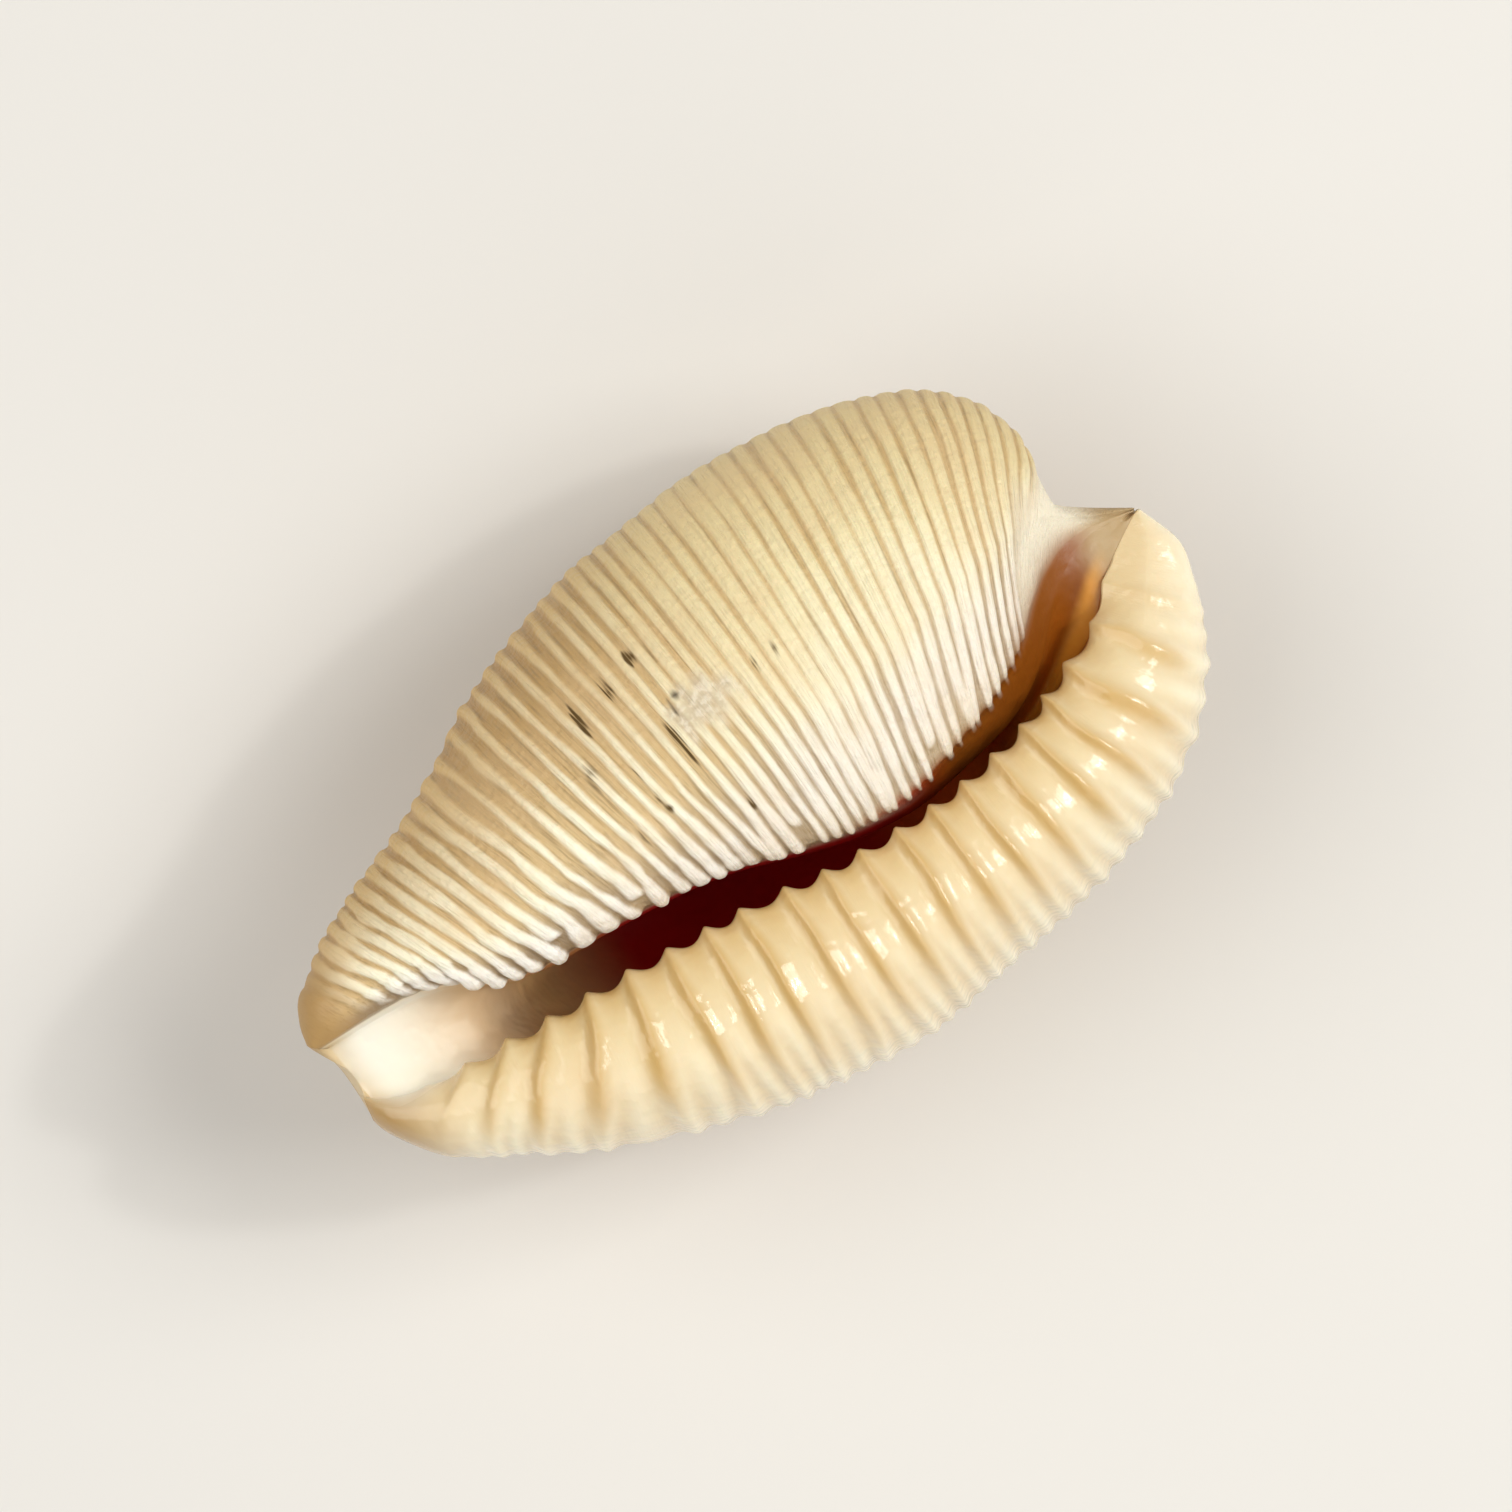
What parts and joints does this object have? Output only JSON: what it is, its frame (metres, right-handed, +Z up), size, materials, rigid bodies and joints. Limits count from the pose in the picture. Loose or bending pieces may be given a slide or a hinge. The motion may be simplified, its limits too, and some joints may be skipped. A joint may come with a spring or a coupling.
{
  "type": "cape cowrie shell",
  "caption": "Pear-shaped cowrie shell lying on its back, with fine transverse ribs, a toothed outer lip and a curved slit-like aperture facing up.",
  "frame": {"origin": "centre of the shell's footprint, on the surface that it rests on", "axes": "+X to the broad rear (posterior) end, +Y to the columella side, +Z up out of the aperture"},
  "size_m": [0.03, 0.018, 0.0142],
  "materials": {
    "shell": "natural porcelain-like gloss, cream with tan grooves, whiter along the aperture, dark red-brown inside"
  },
  "bodies": {
    "root": {"shell": "shell"}
  },
  "joints": []
}
